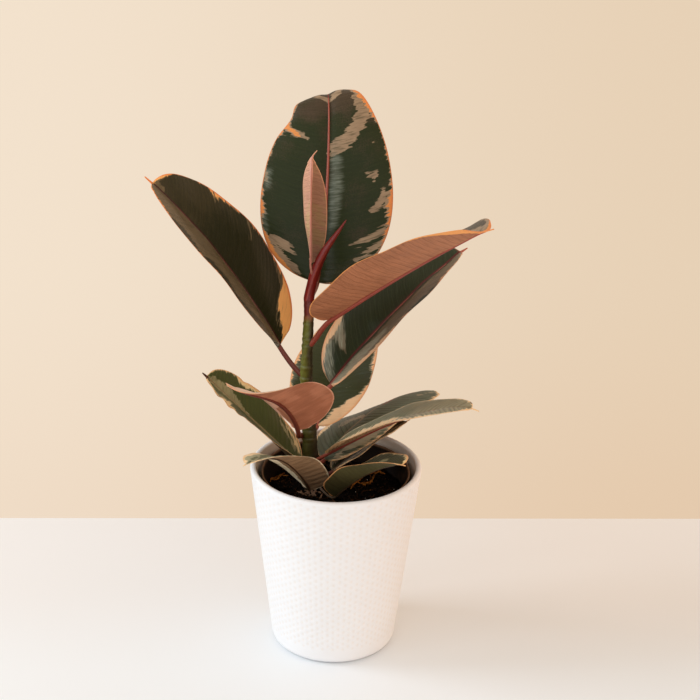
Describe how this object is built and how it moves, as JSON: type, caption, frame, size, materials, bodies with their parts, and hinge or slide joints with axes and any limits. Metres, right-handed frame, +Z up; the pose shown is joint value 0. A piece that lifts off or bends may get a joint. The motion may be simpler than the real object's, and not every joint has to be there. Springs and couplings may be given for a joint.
{
  "type": "potted rubber plant",
  "caption": "Variegated broad-leaved rubber plant on a single stem, rooted in a nursery pot that stands inside a tapered matte white ceramic cover pot.",
  "frame": {"origin": "centre of the cover pot's flat underside", "axes": "+Z up along the pot, -Y towards the side with the two folded front leaves, +X to the long lower right leaf"},
  "size_m": [0.2614, 0.2408, 0.4456],
  "materials": {
    "cover_pot": "matte white with a fine pressed relief",
    "nursery_pot": "dark brown moulded plastic",
    "soil": "dark crumbly potting mix of peat, bark and perlite",
    "stem": "smooth green bark with ring scars",
    "sheath": "smooth crimson bud sheath",
    "young_leaf": "soft pink-brown unrolling leaf",
    "leaf": "glossy dark green with cream and orange variegation, copper pink beneath"
  },
  "bodies": {
    "root": {"cover_pot": "cover_pot", "nursery_pot": "nursery_pot", "soil": "soil", "stem": "stem", "bud_sheath": "sheath", "young_leaf": "young_leaf", "leaf_back": "leaf", "leaf_upper_left": "leaf", "leaf_upper_right": "leaf", "leaf_right": "leaf", "leaf_behind_stem": "leaf", "leaf_lower_left": "leaf", "leaf_front_pink": "leaf", "leaf_low_right_back": "leaf", "leaf_low_right_long": "leaf", "leaf_low_right_small": "leaf", "leaf_front_left": "leaf", "leaf_front_right": "leaf"}
  },
  "joints": []
}
